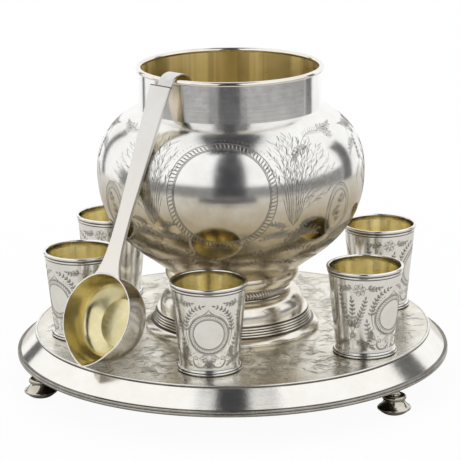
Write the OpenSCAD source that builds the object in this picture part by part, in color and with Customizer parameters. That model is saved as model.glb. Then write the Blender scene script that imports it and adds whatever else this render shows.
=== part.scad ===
// Silver punch service: a footed round tray that carries a punch bowl, a ladle
// hooked over the bowl's rim, and six beakers.
// Origin on the floor under the tray's axis, +Z up, front of the service at -Y.

/* [Tray] */
// Height of the flat top above the lower edge of the rim
tray_drop = 18; // [14:0.5:24]
// Thickness of the tray's sheet
tray_sheet = 1.6; // [1:0.1:2.4]
// Free border of the flat top outside the outermost cup
tray_border = 2.3; // [2:0.1:15]
// Outward run of the sloping skirt
skirt_run = 10.6; // [6:0.1:16]
// Width of the hem that is turned in under the skirt
hem_w = 19; // [17:0.5:30]
// Width of the raised lip round the flat top
lip_w = 1.8; // [1.2:0.1:3]
// Rise of the lip over the flat top
lip_rise = 0.5; // [0.2:0.1:0.8]
// Diameter of each of the two reeds of the rim moulding
rim_reed_d = 2.4; // [1.6:0.1:3.2]

/* [Tray feet] */
// Number of feet
foot_count = 3; // [3:1:4]
// Direction of the first foot from +X
foot_first_angle = 80; // [0:1:119]
// Distance from the tray's outer edge to a foot's axis
foot_inset = 11; // [9:0.5:14]
// Height of a foot
foot_h = 21; // [18:0.5:28]
// Diameter of the bell's edge
foot_bell_d = 24; // [18:0.2:30]
// Diameter of the collar over the bell
foot_collar_d = 17.2; // [12:0.2:18]
// Diameter of the neck over the collar
foot_neck_d = 7.6; // [6:0.2:11]
// Diameter of the flare that meets the hem
foot_flare_d = 13; // [11:0.2:16]
// Diameter of the flat that stands on the table
foot_pad_d = 9; // [6:0.2:14]

/* [Bowl] */
// Widest diameter of the belly
bowl_d = 195.2; // [170:0.2:220]
// Height of the widest circle above the stem
belly_low_h = 73; // [62:0.1:90]
// Height of the neck's seam above the widest circle
belly_high_h = 47.2; // [38:0.1:58]
// Outer diameter of the neck
neck_d = 132.6; // [115:0.2:150]
// Height of the rim wire's centre above the seam
neck_h = 28; // [20:0.1:38]
// Diameter of the rim wire
rim_wire_d = 4; // [3:0.1:5]
// Wall of the bowl and its foot
bowl_wall = 1.5; // [1:0.1:2]
// Slope of the belly where it leaves the stem
belly_low_slope = 41; // [32:1:50]
// Slope of the shoulder where it meets the neck
shoulder_slope = 28; // [20:1:40]

/* [Bowl foot] */
// Diameter of the plain base
base_d = 128.8; // [115:0.2:145]
// Width of the plain base's ring
base_ring_w = 12.9; // [10:0.1:20]
// Height of the plain base
base_h = 5.5; // [3:0.1:7]
// Diameter over the reeded ring at its lower edge
reeds_d = 118; // [108:0.2:122]
// Width of the reeded ring
reeds_ring_w = 10; // [8:0.1:14]
// Height of the reeded ring
reeds_h = 7.3; // [4:0.1:9]
// Inward lean of the reeded ring over its height
reeds_lean = 2.2; // [0:0.1:4]
// Number of reeds
reed_count = 4; // [3:1:6]
// Diameter of the ovolo
ovolo_d = 106.6; // [92:0.2:110]
// Upright part of the ovolo
ovolo_rise = 1.7; // [0.5:0.1:4]
// Width of the ovolo's rounded edge
ovolo_round = 9.6; // [4:0.1:11]
// Height of the ovolo's rounded edge
ovolo_round_h = 12.4; // [4:0.1:15]
// Radius of the hollow over the ovolo
scotia_round = 3.2; // [2:0.1:7]
// Diameter of the rope wire round the stem
rope_wire_d = 3; // [2:0.1:4]
// Number of turns in the rope's lay
rope_turns = 45; // [30:1:50]
// Diameter of the barrel-shaped stem at its top
stem_d = 97; // [92:0.2:106]
// Bulge of the stem's side
stem_bulge = 0.7; // [0:0.1:2]
// Height of the stem
stem_h = 10.6; // [9:0.1:24]

/* [Ladle] */
// Direction of the ladle from +X
ladle_angle = 228; // [226:1:230]
// Outer diameter of the ladle's bowl
ladle_d = 62; // [50:0.5:68]
// Depth of the ladle's bowl
ladle_depth = 26.5; // [20:0.5:32]
// Diameter of the flat bottom of the ladle's bowl
ladle_bottom_d = 34; // [26:0.5:40]
// Reach of the pouring lip beyond the round of the bowl
ladle_lip = 6.2; // [3:0.1:9]
// Half of the angle that the pouring lip takes up
ladle_lip_angle = 42; // [30:1:60]
// Wall of the ladle's bowl
ladle_wall = 1.1; // [0.8:0.1:2]
// Thickness of the handle
handle_t = 2.4; // [1.6:0.1:3.5]
// Width of the handle at its top
handle_top_w = 19.4; // [15:0.1:24]
// Width of the handle at its waist
handle_waist_w = 12.4; // [8:0.1:16]
// Distance from the waist to the ladle's bowl
handle_waist_up = 44; // [30:1:60]
// Width of the handle where it meets the bowl
handle_root_w = 25; // [18:0.1:32]
// Thickness of the hook
hook_t = 1.4; // [1:0.1:2]
// Width of the hook
hook_w = 13.4; // [9:0.1:14]
// Sideways offset of the hook from the handle's middle
hook_side = 2.9; // [-3:0.1:3]
// Inside radius of the hook's arch
hook_r = 10.4; // [9:0.1:14]
// Height of the ladle's lip above the tray
ladle_lift = 5; // [3:0.1:15]

/* [Cups] */
// Diameter over the cup's rim
cup_rim_d = 55.2; // [48:0.2:60]
// Diameter of the cup's base
cup_base_d = 40.8; // [36:0.2:46]
// Height of a cup
cup_h = 63.9; // [55:0.1:72]
// Wall of a cup
cup_wall = 1; // [0.8:0.1:1.5]
// Height of the cup's rim moulding
cup_rim_h = 4.4; // [3.5:0.1:6]
// Diameter of the bead at the cup's lip
cup_bead_d = 2.2; // [1.6:0.1:3]
// Diameter of the fine reed under the bead
cup_reed_d = 1.2; // [0.8:0.1:1.6]
// Thickness of the cup's floor
cup_floor_t = 1.2; // [0.8:0.1:2]
// Height of the cup's floor above the tray
cup_floor_up = 0.8; // [0.4:0.1:2]
// Gap between the front cup's rim and the belly
cup_gap = 4.9; // [2:0.1:12]
// Step by which the other cups stand further out
cup_drift = 7; // [0:0.1:10]

/* [Hidden] */
$fn = 96;
SILVER = [0.80, 0.79, 0.77];
SATIN = [0.86, 0.85, 0.82];
SHADE = [0.70, 0.68, 0.64];

// Gaps between pieces that come apart, and round the rope wire
loose_gap = 0.3;
rope_gap = 0.1;

// Each cup's steps out from the belly, and its direction from +X
CUPS = [[2.7, 138], [1, 191], [0, 261], [1.7, 324], [2.3, 22], [1.3, 82]];
cup_count = len(CUPS);

// Points of an arc about c, of an oval one, of a cubic curve, and of an open outline moved d to its left
function arc(c, r, a0, a1, n = 10) = [
    for (i = [0:n]) let (a = a0 + (a1 - a0) * i / n) c + r * [cos(a), sin(a)]
];
function oval_arc(c, w, h, a0, a1) = [for (p = arc([0, 0], 1, a0, a1)) c + [w * p[0], h * p[1]]];
function curve(p, n) = [
    for (i = [0:n]) let (t = i / n, s = 1 - t)
        s * s * s * p[0] + 3 * s * s * t * p[1] + 3 * s * t * t * p[2] + t * t * t * p[3]
];
function polar(r, a) = r * [cos(a), sin(a)];
function reversed(p) = [for (i = [len(p) - 1:-1:0]) p[i]];
function tail(p) = [for (i = [1:len(p) - 1]) p[i]];
function left_of(v) = [-v[1], v[0]] / norm(v);
function left_normal(p, i) =
    let (a = left_of(p[max(i, 1)] - p[max(i, 1) - 1]))
    let (b = left_of(p[min(i + 1, len(p) - 1)] - p[min(i + 1, len(p) - 1) - 1]))
    (a + b) / (1 + a * b);
function moved_left(p, d) = [for (i = [0:len(p) - 1]) p[i] + d * left_normal(p, i)];

// Heights in the tray, from the floor up
tray_z = foot_h + tray_drop;
rim_reed_overlap = 0.3;
rim_reed_pitch = rim_reed_d - rim_reed_overlap;
rim_h = rim_reed_d + rim_reed_pitch;

// Heights in the bowl, from the tray's flat top up
reeds_z = base_h;
dome_z = reeds_z + reeds_h;
ovolo_z = dome_z + bowl_wall + ovolo_rise;
fillet = 0.3;
scotia_z = ovolo_z + ovolo_round_h + fillet;
rope_z = scotia_z + scotia_round;
stem_z = rope_z + rope_wire_d;
belly_z = stem_z + stem_h;
equator_z = belly_z + belly_low_h;
seam_z = equator_z + belly_high_h;
bead_z = seam_z + neck_h;

// Radii in the bowl's foot, with the steps between the mouldings
ledge_step = 0.8;
ovolo_flat = 0.6;
scotia_step = 0.4;
ledge_r = reeds_d / 2 - reeds_lean - ledge_step;
scotia_r = ovolo_d / 2 - ovolo_round - ovolo_flat;
core_r = scotia_r - scotia_round - scotia_step;
rope_r = core_r + rope_gap + rope_wire_d / 2;
rope_wire_r = rope_wire_d / 2 - rope_gap;
stem_r = stem_d / 2;
stem_shelf = 1.7;
stem_straight = 4;
stem_bulge_r = stem_r + stem_bulge;
stem_round = min(stem_bulge_r - core_r - stem_shelf, stem_h - stem_straight);

// Belly outline: dished bottom, lower curve, shoulder, and how far each curve runs on at its ends
bottom_sag = 8;
bottom_pull = 1.5;
stem_pull = 0.34;
low_pull = 0.62;
high_pull = 0.6;
neck_pull = 0.58;
belly_overhang = 0.1;
belly_r = bowl_d / 2;
neck_r = neck_d / 2;
belly_start = [stem_r + belly_overhang, belly_z];
belly_widest = [belly_r, equator_z];
belly_end = [neck_r, seam_z];
belly_bottom = curve([
    [0, belly_z - bottom_sag],
    [belly_start[0] / 2, belly_z - bottom_sag],
    belly_start - polar(bottom_pull * bottom_sag, belly_low_slope),
    belly_start
], 8);
belly_low = curve([
    belly_start,
    belly_start + polar(stem_pull * belly_low_h, belly_low_slope),
    belly_widest - [0, low_pull * belly_low_h],
    belly_widest
], 18);
belly_high = curve([
    belly_widest,
    belly_widest + [0, high_pull * belly_high_h],
    belly_end + polar(neck_pull * (belly_r - neck_r), -shoulder_slope),
    belly_end
], 18);
belly_side = concat(belly_low, tail(belly_high));
belly_outline = concat(belly_bottom, tail(belly_side));
belly_inside = [for (p = moved_left(belly_outline, bowl_wall)) [max(p[0], 0), p[1]]];
neck_seat = belly_inside[len(belly_inside) - 1];
function belly_height_at(r) = lookup(r, concat(belly_bottom, tail(belly_low)));
function belly_radius_at(z) = lookup(z, [for (p = belly_side) [p[1], p[0]]]);

// Cup places and the tray's radii, which follow from them
cup_rim_r = cup_rim_d / 2;
cup_base_r = cup_base_d / 2;
function cup_place(i) = belly_radius_at(cup_h) + cup_rim_r + cup_gap + cup_drift * CUPS[i - 1][0];
function cup_angle(i) = CUPS[i - 1][1];
cup_reach = max([for (i = [1:cup_count]) cup_place(i)]) + cup_base_r;
flat_r = cup_reach + tray_border;
skirt_r = flat_r + skirt_run;
rim_back = 0.6 * rim_reed_d;
tray_r = skirt_r + rim_back + rim_reed_d / 2;
foot_r = tray_r - foot_inset;

// Cup wall: outside radius at a height, up to the bead
cup_top_r = cup_rim_r - 0.35 * cup_bead_d;
function cup_r_at(z) = cup_base_r + (cup_top_r - cup_base_r) * z / cup_h;
cup_seam_z = cup_h - cup_rim_h;

// Hook: its arch rests on the rim wire, and the handle leaves it at the crease
hook_seat_angle = 52;
crease_angle = 19;
hook_end_angle = 192;
rim_wire_r = rim_wire_d / 2;
bead = [neck_r, bead_z];
arch = bead - polar(hook_r - rim_wire_r - loose_gap, hook_seat_angle);
crease = arch + polar(hook_r, crease_angle);

// Handle: hangs from the crease and leans on the shoulder of the belly
belly_clear = moved_left(belly_side, -loose_gap);
handle_lean = max([
    for (p = belly_clear) if (p[1] < seam_z - 5) atan2(p[0] - crease[0], crease[1] - p[1])
]);
ladle_r = ladle_d / 2;
lip_top_z = crease[1] + handle_t * sin(handle_lean);
ladle_reach = (lip_top_z - ladle_lift) / cos(handle_lean);
ladle_u = ladle_reach - ladle_lip - ladle_r;
handle_len = ladle_u - ladle_r;
waist_u = handle_len - handle_waist_up;

// A ring or shell of revolution from its outline
module spun(outline) {
    rotate_extrude() polygon(outline);
}

module at_tray_top() {
    translate([0, 0, tray_z]) children();
}

module at_cup(i) {
    rotate(cup_angle(i)) translate([cup_place(i), 0, tray_z]) children();
}

// Ladle frame: X down the handle, Z out of the face that shows, origin at the crease
module at_ladle() {
    at_tray_top() rotate(ladle_angle)
        translate([crease[0], 0, crease[1]]) rotate([0, 90 - handle_lean, 0]) children();
}

module tray_top() {
    color(SILVER) translate([0, 0, tray_z - tray_sheet])
        cylinder(h = tray_sheet, r = flat_r - lip_w);
}

// Upright edge strip with a rounded top
module tray_lip() {
    low_z = tray_z - tray_sheet;
    lip_c = [flat_r - lip_w / 2, tray_z + lip_rise - lip_w / 2];
    color(SILVER) spun(concat(
        [[flat_r - lip_w, low_z], [flat_r, low_z]], arc(lip_c, lip_w / 2, 0, 180, 12)
    ));
}

// Sloping sheet under the lip, with its lower edge turned in as a flat hem
module tray_skirt() {
    top_z = tray_z - tray_sheet;
    knee_z = foot_h + rim_h;
    top_r = flat_r - 0.2;
    across = tray_sheet * norm([skirt_r - top_r, top_z - knee_z]) / (top_z - knee_z);
    color(SILVER) spun([
        [top_r, top_z], [skirt_r, knee_z], [skirt_r, foot_h], [skirt_r - hem_w, foot_h],
        [skirt_r - hem_w, foot_h + tray_sheet], [skirt_r - across, foot_h + tray_sheet],
        [skirt_r - across, knee_z], [top_r - across, top_z]
    ]);
}

// Moulding of two reeds round the skirt's lower edge
module tray_rim() {
    color(SHADE) rotate_extrude() {
        translate([skirt_r, foot_h]) square([rim_back, rim_h]);
        for (k = [0, 1])
            translate([skirt_r + rim_back, foot_h + rim_reed_d / 2 + k * rim_reed_pitch])
                circle(d = rim_reed_d);
    }
}

// Turned foot: pad, bell, collar, neck and flare
module tray_foot(i) {
    bell_r = foot_bell_d / 2;
    bell_z = 0.235 * foot_h;
    bell_edge = 0.045 * foot_h;
    collar_r = foot_collar_d / 2;
    collar_z = 0.61 * foot_h;
    collar_edge = 0.09 * foot_h;
    waist_r = foot_neck_d / 2;
    lip = arc([bell_r - bell_edge, bell_z], bell_edge, -50, 50, 6);
    bell_low = lip[6];
    bell_top = [collar_r - 0.7 * collar_edge, collar_z - 1.05 * collar_edge];
    bell_rise = bell_top - bell_low;
    outline = concat(
        [[0, 0], [foot_pad_d / 2, 0]],
        curve([
            [foot_pad_d / 2, 0.2], [0.7 * bell_r, 0.04 * foot_h],
            lip[0] - [1.8 * bell_edge, 1.2 * bell_edge], lip[0]
        ], 8),
        tail(lip),
        tail(curve([
            bell_low, bell_low + [0.4 * bell_rise[0], 0.2 * bell_rise[1]],
            bell_top - [0.15 * bell_rise[0], 0.4 * bell_rise[1]], bell_top
        ], 8)),
        arc([collar_r - collar_edge, collar_z], collar_edge, -60, 90, 7),
        curve([
            [waist_r + 0.8, collar_z + collar_edge], [waist_r, 0.8 * foot_h],
            [waist_r, 0.88 * foot_h], [foot_flare_d / 2, foot_h]
        ], 8),
        [[0, foot_h]]
    );
    color(SHADE) rotate(foot_first_angle + (i - 1) * 360 / foot_count)
        translate([foot_r, 0, 0]) spun(outline);
}

module bowl_belly() {
    color(SILVER) at_tray_top() spun(concat(belly_outline, reversed(belly_inside)));
}

// Plain upright collar, scarfed to the edge of the shoulder
module bowl_neck() {
    top_z = bead_z - 0.6 * rim_wire_r;
    color(SILVER) at_tray_top() spun([
        belly_end, [neck_r, top_z], [neck_r - bowl_wall, top_z],
        [neck_r - bowl_wall, neck_seat[1]], neck_seat
    ]);
}

module bowl_rim() {
    color(SILVER) at_tray_top() rotate_extrude() difference() {
        translate(bead) circle(r = rim_wire_r);
        translate([neck_r - rim_wire_d, bead_z - 0.6 * rim_wire_r - rim_wire_d])
            square([2 * rim_wire_d, rim_wire_d]);
    }
}

// Barrel-shaped stem, rounded in below, its top edge on the belly
module bowl_stem() {
    inner_r = stem_r - bowl_wall;
    round_c = [stem_bulge_r - stem_round, stem_z + stem_round];
    top = [stem_r, belly_height_at(stem_r)];
    side_h = top[1] - round_c[1];
    color(SILVER) at_tray_top() spun(concat(
        [[core_r, rope_z + rope_wire_d / 2], [core_r, stem_z]],
        arc(round_c, stem_round, -90, 0),
        curve([
            [stem_bulge_r, round_c[1]], [stem_bulge_r, round_c[1] + 0.4 * side_h],
            top + [0.4 * stem_bulge, -0.3 * side_h], top
        ], 5),
        [[inner_r, belly_height_at(inner_r)]],
        arc(round_c, stem_round - bowl_wall, 0, -90),
        [[core_r - bowl_wall, stem_z + bowl_wall], [core_r - bowl_wall, rope_z + rope_wire_d / 2]]
    ));
}

// Two wires laid up as a rope, closed into a ring: an oval section that turns as it goes round
rope_sides = 8;
rope_steps = 8 * rope_turns;
function rope_point(k, j) =
    let (around = 360 * k / rope_steps, a = 360 * j / rope_sides)
    let (turn = a - rope_turns * around)
    let (r = rope_wire_r * (0.8 + 0.2 * cos(2 * turn)))
    [(rope_r + r * cos(a)) * cos(around), (rope_r + r * cos(a)) * sin(around),
        rope_z + rope_wire_d / 2 + r * sin(a)];

module bowl_rope_band() {
    points = [for (k = [0:rope_steps - 1]) for (j = [0:rope_sides - 1]) rope_point(k, j)];
    function at(k, j) = (k % rope_steps) * rope_sides + j % rope_sides;
    faces = [
        for (k = [0:rope_steps - 1]) for (j = [0:rope_sides - 1]) each [
            [at(k, j), at(k, j + 1), at(k + 1, j)],
            [at(k + 1, j), at(k, j + 1), at(k + 1, j + 1)]
        ]
    ];
    color(SHADE) at_tray_top() polyhedron(points, faces);
}

// Hollow spun foot: ledge, ovolo and scotia up to the rope wire
module bowl_foot_dome() {
    ovolo_r = ovolo_d / 2;
    round_c = [ovolo_r - ovolo_round, ovolo_z];
    step_z = ovolo_z + ovolo_round_h;
    outside = concat(
        [[ledge_r, dome_z], [ledge_r, dome_z + bowl_wall], [ovolo_r, dome_z + bowl_wall]],
        oval_arc(round_c, ovolo_round, ovolo_round_h, 0, 90),
        [[scotia_r, step_z]],
        arc([scotia_r, rope_z], scotia_round, 270, 180),
        [[core_r, rope_z], [core_r, rope_z + rope_wire_d / 2]]
    );
    inside_r = core_r - bowl_wall;
    inside = concat(
        [[inside_r, rope_z + rope_wire_d / 2], [inside_r, rope_z]],
        arc([scotia_r, rope_z], scotia_round + bowl_wall, 180, 270),
        oval_arc(round_c, ovolo_round - bowl_wall, ovolo_round_h - bowl_wall, 90, 0),
        [[ovolo_r - bowl_wall, dome_z]]
    );
    color(SILVER) at_tray_top() spun(concat(outside, inside));
}

// Ring of fine reeds that lean in as they rise
module bowl_foot_reeds() {
    low_r = reeds_d / 2;
    high_r = low_r - reeds_lean;
    reed_pitch = reeds_h / reed_count;
    inner_r = low_r - reeds_ring_w;
    color(SHADE) at_tray_top() rotate_extrude() {
        polygon([
            [inner_r, reeds_z], [low_r - 0.5 * reed_pitch, reeds_z],
            [high_r - 0.5 * reed_pitch, dome_z], [inner_r, dome_z]
        ]);
        for (k = [0:reed_count - 1]) let (t = (k + 0.5) / reed_count)
            translate([low_r - t * reeds_lean - 0.5 * reed_pitch, reeds_z + t * reeds_h])
                circle(d = 0.96 * reed_pitch);
    }
}

// Plain base, its side sloping in from a rounded lower edge
module bowl_foot_base() {
    base_r = base_d / 2;
    shelf_r = min(reeds_d / 2 + 0.6, base_r - 0.8 * base_h);
    inner_r = base_r - base_ring_w;
    edge = 0.3 * base_h;
    color(SILVER) at_tray_top() spun(concat(
        [[inner_r, 0], [base_r - 0.6 * edge, 0]],
        arc([base_r - edge, edge], edge, -50, 30, 6),
        [[shelf_r + 0.8, base_h - 0.4], [shelf_r, base_h], [inner_r, base_h]]
    ));
}

// Ladle bowl: upright wall, rounded corner, flat bottom, drawn out to a pouring lip
ladle_sides = 64;
lip_fade = 15;
function ladle_section(wall) =
    let (r = ladle_r - wall, bottom = ladle_bottom_d / 2, depth = ladle_depth - wall)
    let (corner = min(r - bottom - 0.6, depth - 2))
    concat(
        [[r, 0], [r - 0.1, 0.3 * (depth - corner)], [r - 0.3, 0.65 * (depth - corner)]],
        arc([r - corner - 0.6, depth - corner], corner, 0, 90, 7)
    );
function lip_at(a, d) =
    let (off = abs(a > 180 ? a - 360 : a) / ladle_lip_angle)
    off >= 1 || d >= lip_fade ? 0 : ladle_lip * pow(1 - off, 1.35) * pow(1 - d / lip_fade, 2);
function ladle_point(p, j) =
    let (a = 360 * j / ladle_sides, r = p[0] + lip_at(a, p[1]))
    [ladle_u + r * cos(a), r * sin(a), handle_t - p[1]];

module ladle_bowl() {
    rings = concat(reversed(ladle_section(0)), ladle_section(ladle_wall));
    last = len(rings) - 1;
    sides = ladle_sides;
    points = concat(
        [for (p = rings) for (j = [0:sides - 1]) ladle_point(p, j)],
        [[ladle_u, 0, handle_t - ladle_depth], [ladle_u, 0, handle_t - ladle_depth + ladle_wall]]
    );
    under = len(points) - 2;
    floor_mid = len(points) - 1;
    function at(k, j) = k * sides + j % sides;
    faces = concat(
        [for (k = [0:last - 1]) for (j = [0:sides - 1]) each [
            [at(k, j), at(k + 1, j), at(k, j + 1)],
            [at(k + 1, j), at(k + 1, j + 1), at(k, j + 1)]
        ]],
        [for (j = [0:sides - 1]) [under, at(0, j), at(0, j + 1)]],
        [for (j = [0:sides - 1]) [floor_mid, at(last, j + 1), at(last, j)]]
    );
    color(SATIN) at_ladle() polyhedron(points, faces);
}

// Flat strap, narrow at the waist and flared to meet the bowl
module ladle_handle() {
    half_top = handle_top_w / 2;
    half_waist = handle_waist_w / 2;
    half_root = handle_root_w / 2;
    root_u = ladle_u - sqrt(ladle_r * ladle_r - half_root * half_root);
    edge = concat(
        [[0, half_top]],
        curve([
            [waist_u, half_waist], [waist_u + 0.55 * handle_waist_up, half_waist],
            [root_u - 0.2 * handle_waist_up, half_waist + 0.4], [root_u, half_root]
        ], 12)
    );
    mirrored = [for (p = reversed(edge)) [p[0], -p[1]]];
    color(SATIN) at_ladle() linear_extrude(handle_t) difference() {
        polygon(concat(edge, [[ladle_u, half_root], [ladle_u, -half_root]], mirrored));
        translate([ladle_u, 0]) circle(r = ladle_r);
    }
}

// Thin strap that arches over the rim wire, square to the handle at the crease
module ladle_hook() {
    outer = hook_r + hook_t;
    cut = 2 * outer;
    color(SATIN) at_tray_top() rotate(ladle_angle) translate([0, hook_side, 0]) rotate([90, 0, 0])
        linear_extrude(hook_w, center = true) difference() {
            translate(arch) circle(r = outer);
            translate(arch) circle(r = hook_r);
            translate(arch) polygon(concat(
                [[0, 0]],
                [for (k = [0:4]) polar(cut, hook_end_angle + k * (360 + crease_angle - hook_end_angle) / 4)]
            ));
            translate(crease) rotate(handle_lean - 90) translate([0, -hook_t])
                square([hook_r / 2, 3 * hook_t]);
        }
}

module cup_wall_piece(i) {
    color(SILVER) at_cup(i) spun([
        [cup_r_at(0), 0], [cup_r_at(cup_seam_z), cup_seam_z],
        [cup_r_at(cup_seam_z) - cup_wall, cup_seam_z], [cup_r_at(0) - cup_wall, 0]
    ]);
}

// Rim moulding: bead at the lip and a fine reed below it
module cup_rim_piece(i) {
    bead_c = [cup_rim_r - cup_bead_d / 2, cup_h - cup_bead_d / 2];
    reed_z = cup_seam_z + cup_reed_d / 2 + 0.1;
    color(SHADE) at_cup(i) rotate_extrude() {
        polygon([
            [cup_r_at(cup_seam_z) - cup_wall, cup_seam_z], [cup_r_at(cup_seam_z), cup_seam_z],
            [cup_r_at(bead_c[1]), bead_c[1]], [cup_r_at(bead_c[1]) - cup_wall, bead_c[1]]
        ]);
        translate(bead_c) circle(d = cup_bead_d);
        translate([cup_r_at(reed_z), reed_z]) circle(d = cup_reed_d);
    }
}

module cup_floor_piece(i) {
    low = cup_r_at(cup_floor_up) - cup_wall;
    high = cup_r_at(cup_floor_up + cup_floor_t) - cup_wall;
    color(SILVER) at_cup(i) translate([0, 0, cup_floor_up]) cylinder(h = cup_floor_t, r1 = low, r2 = high);
}

tray_top();
tray_lip();
tray_skirt();
tray_rim();
for (i = [1:foot_count]) tray_foot(i);
bowl_belly();
bowl_neck();
bowl_rim();
bowl_stem();
bowl_rope_band();
bowl_foot_dome();
bowl_foot_reeds();
bowl_foot_base();
ladle_bowl();
ladle_handle();
ladle_hook();
for (i = [1:cup_count]) cup_wall_piece(i);
for (i = [1:cup_count]) cup_rim_piece(i);
for (i = [1:cup_count]) cup_floor_piece(i);
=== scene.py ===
"""Looks of a silver punch service: a footed tray, a punch bowl, a hooked ladle and six cups."""
import math
import random

import bmesh
import bpy
import numpy as np
from mathutils import Matrix, Vector


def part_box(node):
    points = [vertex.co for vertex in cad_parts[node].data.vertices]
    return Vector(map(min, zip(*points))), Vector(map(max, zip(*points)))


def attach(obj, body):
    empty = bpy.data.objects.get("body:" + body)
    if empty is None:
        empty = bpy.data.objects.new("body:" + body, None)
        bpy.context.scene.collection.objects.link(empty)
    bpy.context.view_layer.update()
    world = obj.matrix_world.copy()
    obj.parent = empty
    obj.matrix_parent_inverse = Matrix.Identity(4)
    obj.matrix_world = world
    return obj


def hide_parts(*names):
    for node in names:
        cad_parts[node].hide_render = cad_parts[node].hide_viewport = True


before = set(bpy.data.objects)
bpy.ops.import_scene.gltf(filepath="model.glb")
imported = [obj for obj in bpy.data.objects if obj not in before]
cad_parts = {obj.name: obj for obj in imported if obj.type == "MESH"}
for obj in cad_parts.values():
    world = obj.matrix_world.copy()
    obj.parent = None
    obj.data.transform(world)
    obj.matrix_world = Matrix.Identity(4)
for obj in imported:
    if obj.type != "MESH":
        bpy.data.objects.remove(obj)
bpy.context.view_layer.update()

# Lengths below are in millimetres, and meshes are made in metres
MM = 0.001
SEGMENTS = 256
FRONT = -90


def box_mm(node):
    low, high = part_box(node)
    return low / MM, high / MM


def new_object(name, data):
    thing = bpy.data.objects.new(name, data)
    bpy.context.scene.collection.objects.link(thing)
    return thing


# Camera at the photograph's viewing angle
IMAGE_WIDTH = 460
FOCAL_PIXELS = 2337
CAMERA_AT = Vector((-1.08, -1662.4, 559.44))
LOOK_AT = Vector((-1.08, 0, 110.41))
CAMERA_ROLL = math.radians(-0.6)

camera_data = bpy.data.cameras.new("camera")
camera_data.lens = FOCAL_PIXELS * camera_data.sensor_width / IMAGE_WIDTH
camera = new_object("camera", camera_data)
ahead = (LOOK_AT - CAMERA_AT).normalized()
level = ahead.cross(Vector((0, 0, 1))).normalized()
upright = level.cross(ahead)
right = level * math.cos(CAMERA_ROLL) + upright * math.sin(CAMERA_ROLL)
above = right.cross(ahead)
turned = Matrix((right, above, -ahead)).transposed().to_4x4()
camera.matrix_world = Matrix.Translation(CAMERA_AT * MM) @ turned
bpy.context.scene.camera = camera
bpy.context.scene.view_settings.view_transform = "Standard"


# Outlines in the plane: arcs, cubic curves, and joined runs of points
def arc(center, radius, start, stop, count):
    angles = np.radians(np.linspace(start, stop, count + 1))
    return np.stack([center[0] + radius * np.cos(angles), center[1] + radius * np.sin(angles)], 1)


def bezier(a, b, c, d, count):
    t = np.linspace(0, 1, count + 1)[:, None]
    s = 1 - t
    a, b, c, d = (np.asarray(p, float) for p in (a, b, c, d))
    return s ** 3 * a + 3 * s * s * t * b + 3 * s * t * t * c + t ** 3 * d


def joined(*runs):
    return np.vstack([np.atleast_2d(np.asarray(run, float)) for run in runs])


def polar(radius, angle):
    return radius * np.array([math.cos(math.radians(angle)), math.sin(math.radians(angle))])


def turns(count):
    return np.linspace(0, 2 * math.pi, count, endpoint=False)


def round_axis(radius, angles, z):
    return np.stack([radius * np.cos(angles), radius * np.sin(angles), z], 1)


def left_normals(points):
    heading = np.gradient(points, axis=0)
    heading /= np.linalg.norm(heading, axis=1)[:, None]
    return np.stack([-heading[:, 1], heading[:, 0]], 1)


# Procedural metals: sockets of the colour mix node, scales of the noises, and lengths in metres
MIX_FIRST = 6
MIX_SECOND = 7
MIX_RESULT = 2
LINE_SCALE = 900
SCUFF_SCALE = 160
SWELL_SCALE = 38
STREAK_SCALE = 5.5
LINE_DEPTH = 0.0001
SWELL_DEPTH = 0.001
TONE_WANDER = 0.02


def new_material(name):
    """Empty material, and a function that adds a node to it.

    An input of the new node takes a value, a socket, or a node, which stands for its first output."""
    material = bpy.data.materials.new(name)
    material.use_nodes = True
    tree = material.node_tree
    tree.nodes.clear()

    def make(kind, inputs=None, **settings):
        node = tree.nodes.new("ShaderNode" + kind)
        for key, value in settings.items():
            setattr(node, key, value)
        for key, value in (inputs or {}).items():
            if isinstance(value, bpy.types.Node):
                value = value.outputs[0]
            if isinstance(value, bpy.types.NodeSocket):
                tree.links.new(value, node.inputs[key])
            else:
                node.inputs[key].default_value = value
        return node
    return material, make


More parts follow.
